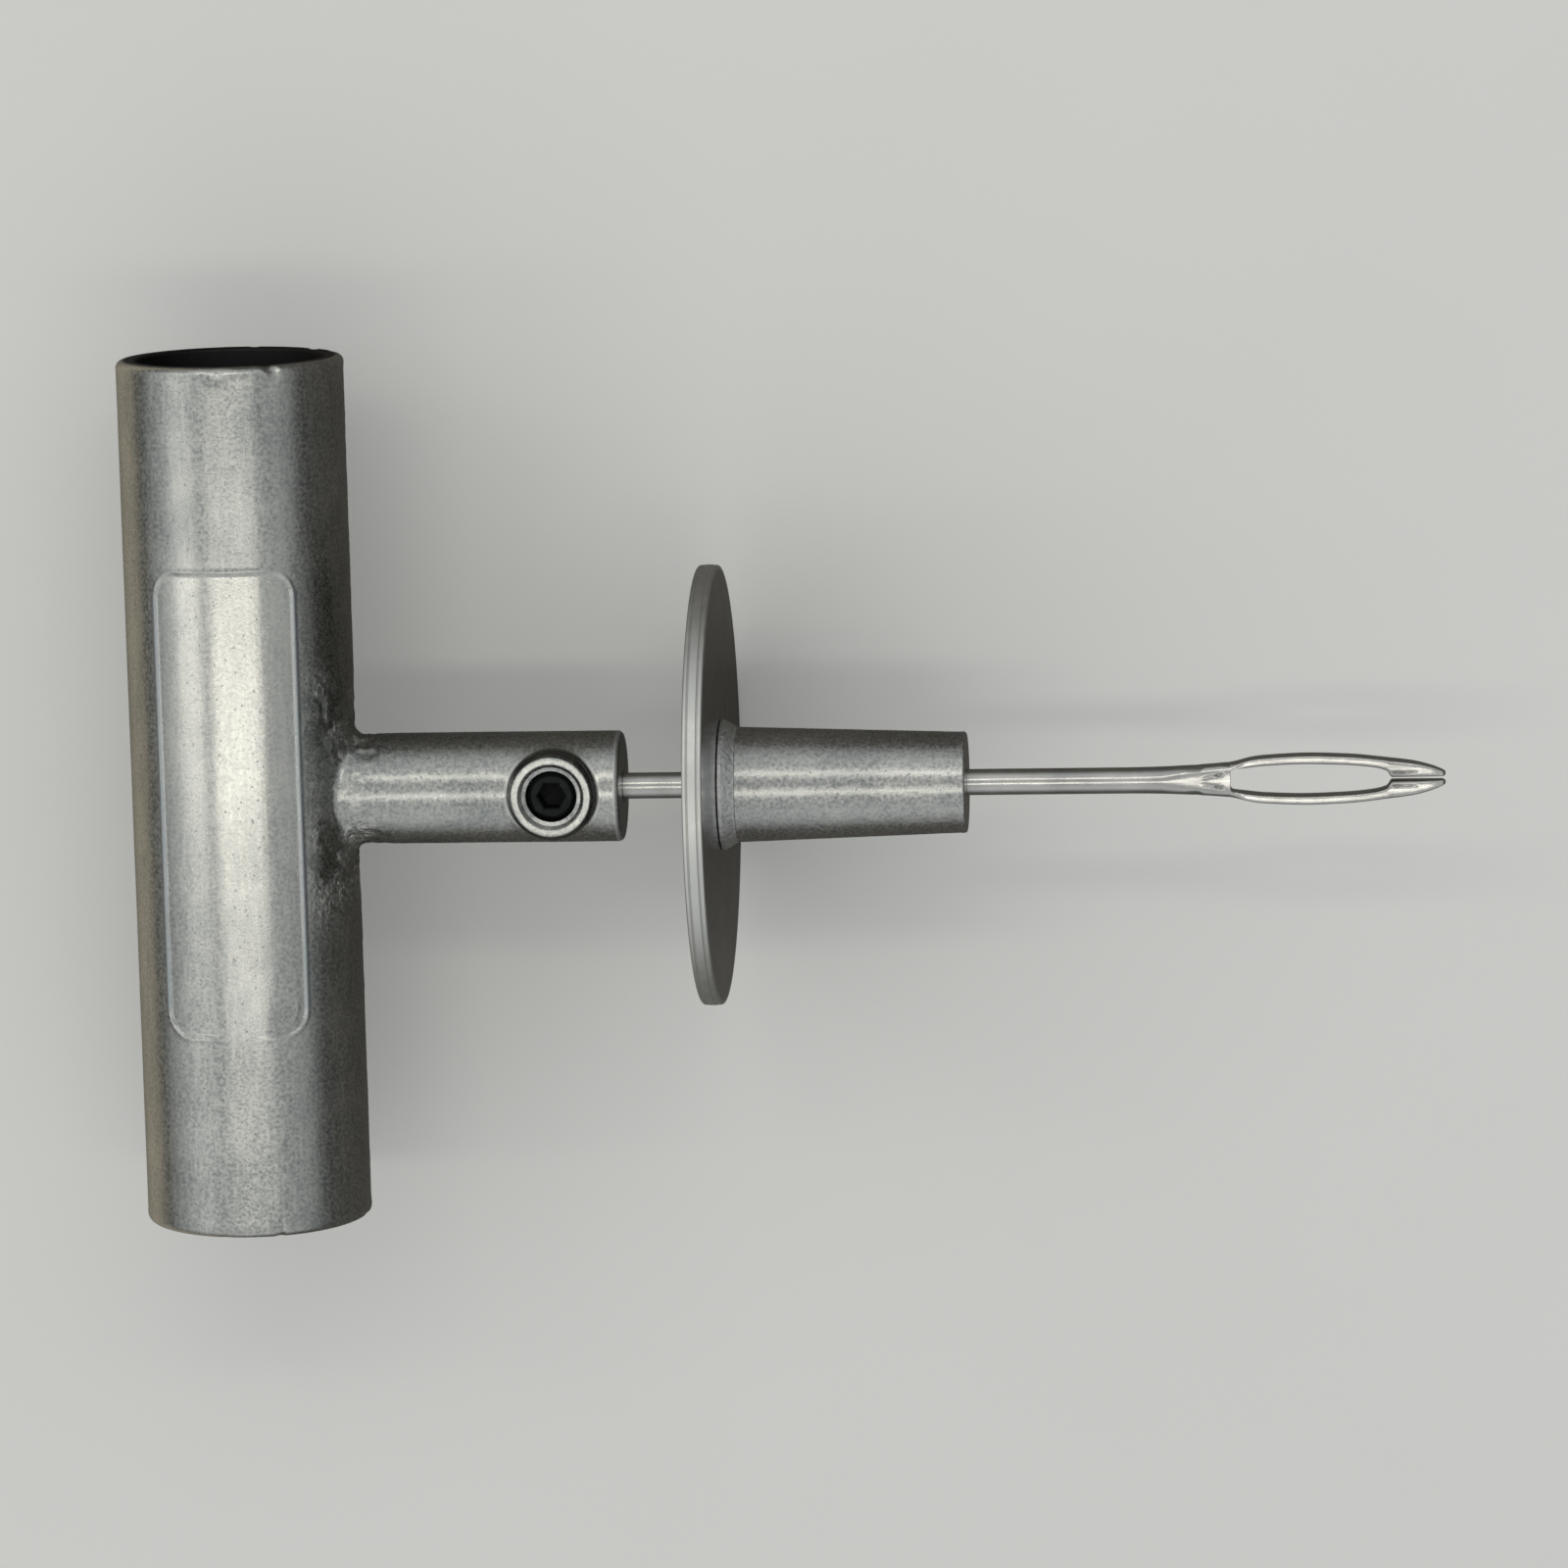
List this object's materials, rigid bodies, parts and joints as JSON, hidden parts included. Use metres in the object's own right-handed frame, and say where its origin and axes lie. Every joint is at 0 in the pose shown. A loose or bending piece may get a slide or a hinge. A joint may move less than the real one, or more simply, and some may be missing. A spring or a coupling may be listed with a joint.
{
  "type": "tyre plug insertion tool",
  "caption": "T-handle tyre plug insertion tool: cast grip, split-eye steel needle held by a set screw, and a sliding stop of a disc on a tapered sleeve.",
  "frame": {"origin": "centre of the tool's box, on the needle's axis, 66.65 mm from the handle's axis", "axes": "+X along the needle to its tip, Y along the handle, +Z to the side with the set screw"},
  "size_m": [0.1614, 0.107, 0.054],
  "materials": {
    "cast_zinc": "tumbled zinc casting, fine pits and soft sheen",
    "sleeve_zinc": "as-cast zinc, fine grain",
    "satin_steel": "smooth satin steel",
    "plated_steel": "bright plated, faint turning rings",
    "black_oxide": "oily black oxide"
  },
  "bodies": {
    "handle": {"handle_casting": "cast_zinc"},
    "clamp_screw": {"set_screw": "black_oxide"},
    "needle": {"insertion_needle": "satin_steel"},
    "sleeve": {"stop_sleeve": "sleeve_zinc"},
    "disc": {"stop_disc": "plated_steel"}
  },
  "joints": [
    {"name": "set_screw_turn", "type": "hinge", "parent": "handle", "child": "clamp_screw", "pos_m": [-0.02785, 0, 0.0045], "axis": [0, 0, 1], "range_deg": [0, 720]},
    {"name": "needle_draw", "type": "slide", "parent": "handle", "child": "needle", "axis": [1, 0, 0], "range_m": [0, 0.0175]},
    {"name": "stop_slide", "type": "slide", "parent": "needle", "child": "sleeve", "axis": [1, 0, 0], "range_m": [-0.0085, 0.0285]},
    {"name": "disc_spin", "type": "hinge", "parent": "sleeve", "child": "disc", "pos_m": [-0.00885, 0, 0], "axis": [1, 0, 0], "continuous": true}
  ]
}
